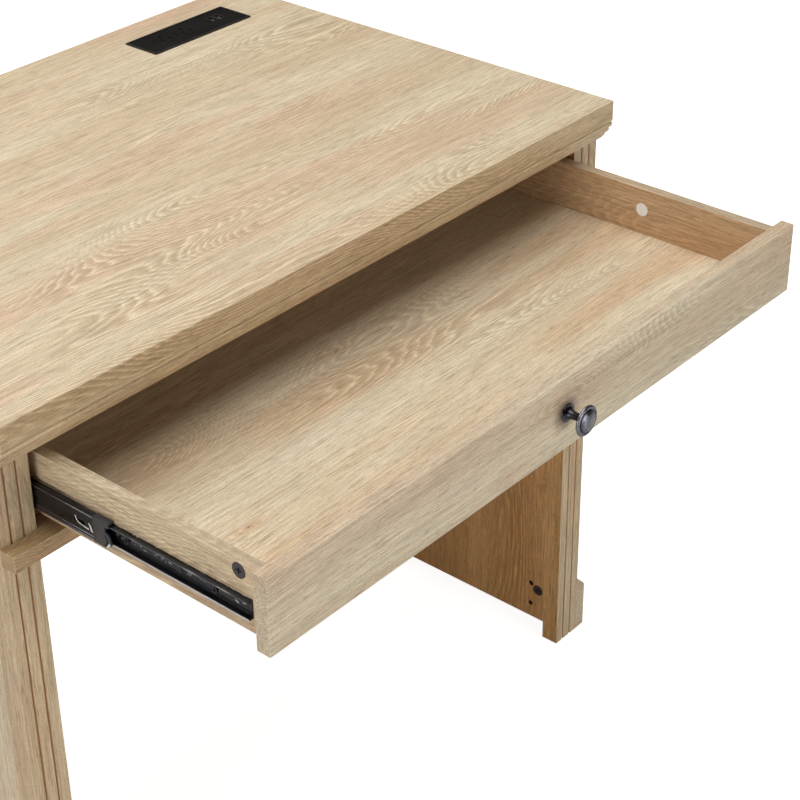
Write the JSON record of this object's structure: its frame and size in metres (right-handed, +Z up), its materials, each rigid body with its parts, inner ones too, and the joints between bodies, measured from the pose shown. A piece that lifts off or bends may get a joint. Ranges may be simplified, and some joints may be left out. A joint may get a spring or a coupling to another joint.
{
  "type": "writing desk",
  "caption": "Straight writing desk on two panel legs, with a wide drawer on ball-bearing slides, a moulded front edge and a power strip let into the top.",
  "frame": {"origin": "on the floor, under the centre of the box of the whole desk as stored, with its drawer pulled out", "axes": "+X runs left to right along the desktop, -Y is the front where the drawer opens, +Z is up"},
  "size_m": [0.913, 0.886, 0.762],
  "materials": {
    "oak_laminate": "matt oak-look laminate, grain along the desk",
    "oak_leg": "matt oak-look laminate, grain upright",
    "oak_inside": "matt oak-look laminate, warmer and darker",
    "oak_drawer": "matt oak-look laminate, grain along the drawer front",
    "oak_drawer_box": "matt oak-look laminate, grain front to back",
    "raw_board": "raw particle board",
    "beech": "raw beech",
    "slide_steel": "black e-coated steel, satin",
    "grey_plastic": "moulded dark grey plastic",
    "ball_steel": "polished bearing steel",
    "black_plastic": "matt black moulded plastic",
    "cam_zinc": "blackened zinc, satin",
    "zinc_steel": "zinc-plated steel",
    "gunmetal": "gunmetal, semi-gloss",
    "sticker_paper": "white paper"
  },
  "bodies": {
    "desk": {"desktop": "oak_laminate", "front_moulding": "oak_laminate", "front_cross_rail": "oak_inside", "drawer_rail": "oak_laminate", "back_panel": "oak_inside", "left_front_post": "oak_leg", "right_front_post": "oak_leg", "left_rear_post": "oak_leg", "right_rear_post": "oak_leg", "left_inner_panel": "oak_inside", "right_inner_panel": "oak_inside", "left_outer_panel": "oak_leg", "right_outer_panel": "oak_leg", "left_leg_spacers": "raw_board", "right_leg_spacers": "raw_board", "left_plinth": "oak_leg", "right_plinth": "oak_leg", "leg_cam_locks": "cam_zinc", "leg_cam_bolts": "zinc_steel", "frame_dowels": "beech", "cross_rail_screws": "zinc_steel", "foot_glides": "black_plastic", "power_bezel": "black_plastic", "power_faceplate": "black_plastic", "power_sockets": "black_plastic", "usb_port_block": "grey_plastic", "power_housing": "black_plastic", "power_clamps": "zinc_steel", "cord_gland": "black_plastic", "left_slide_outer_member": "slide_steel", "right_slide_outer_member": "slide_steel", "slide_case_screws": "zinc_steel"},
    "drawer": {"left_slide_inner_member": "slide_steel", "right_slide_inner_member": "slide_steel", "slide_drawer_screws": "zinc_steel", "drawer_front": "oak_drawer", "left_drawer_side": "oak_drawer_box", "right_drawer_side": "oak_drawer_box", "drawer_back": "oak_drawer_box", "drawer_bottom": "oak_drawer", "drawer_cam_locks": "cam_zinc", "drawer_cam_bolts": "zinc_steel", "drawer_dowels": "beech", "drawer_back_screws": "zinc_steel", "knob": "gunmetal", "knob_backplate": "gunmetal", "knob_screw": "zinc_steel", "round_sticker": "sticker_paper"},
    "left_slide_middle": {"left_slide_middle_member": "slide_steel", "left_slide_end_cap": "grey_plastic"},
    "right_slide_middle": {"right_slide_middle_member": "slide_steel", "right_slide_end_cap": "grey_plastic"},
    "left_outer_cage": {"left_outer_ball_cage": "grey_plastic", "left_slide_balls_outer": "ball_steel"},
    "right_outer_cage": {"right_outer_ball_cage": "grey_plastic", "right_slide_balls_outer": "ball_steel"},
    "left_inner_cage": {"left_inner_ball_cage": "grey_plastic", "left_slide_balls_inner": "ball_steel"},
    "right_inner_cage": {"right_inner_ball_cage": "grey_plastic", "right_slide_balls_inner": "ball_steel"}
  },
  "joints": [
    {"name": "drawer_slide", "type": "slide", "parent": "desk", "child": "drawer", "axis": [0, -1, 0], "range_m": [-0.283, 0.067]},
    {"name": "left_middle_slide", "type": "slide", "parent": "desk", "child": "left_slide_middle", "axis": [0, -1, 0], "range_m": [-0.1417, 0.0337]},
    {"name": "left_outer_cage_roll", "type": "slide", "parent": "desk", "child": "left_outer_cage", "axis": [0, -1, 0], "range_m": [-0.07095, 0.01695]},
    {"name": "left_inner_cage_roll", "type": "slide", "parent": "desk", "child": "left_inner_cage", "axis": [0, -1, 0], "range_m": [-0.21245, 0.05045]},
    {"name": "right_middle_slide", "type": "slide", "parent": "desk", "child": "right_slide_middle", "axis": [0, -1, 0], "range_m": [-0.1417, 0.0337]},
    {"name": "right_outer_cage_roll", "type": "slide", "parent": "desk", "child": "right_outer_cage", "axis": [0, -1, 0], "range_m": [-0.07095, 0.01695]},
    {"name": "right_inner_cage_roll", "type": "slide", "parent": "desk", "child": "right_inner_cage", "axis": [0, -1, 0], "range_m": [-0.21245, 0.05045]}
  ],
  "couplings": [
    {"joint": "left_middle_slide", "follows": "drawer_slide", "ratio": 0.5},
    {"joint": "left_outer_cage_roll", "follows": "drawer_slide", "ratio": 0.25},
    {"joint": "left_inner_cage_roll", "follows": "drawer_slide", "ratio": 0.75},
    {"joint": "right_middle_slide", "follows": "drawer_slide", "ratio": 0.5},
    {"joint": "right_outer_cage_roll", "follows": "drawer_slide", "ratio": 0.25},
    {"joint": "right_inner_cage_roll", "follows": "drawer_slide", "ratio": 0.75}
  ]
}
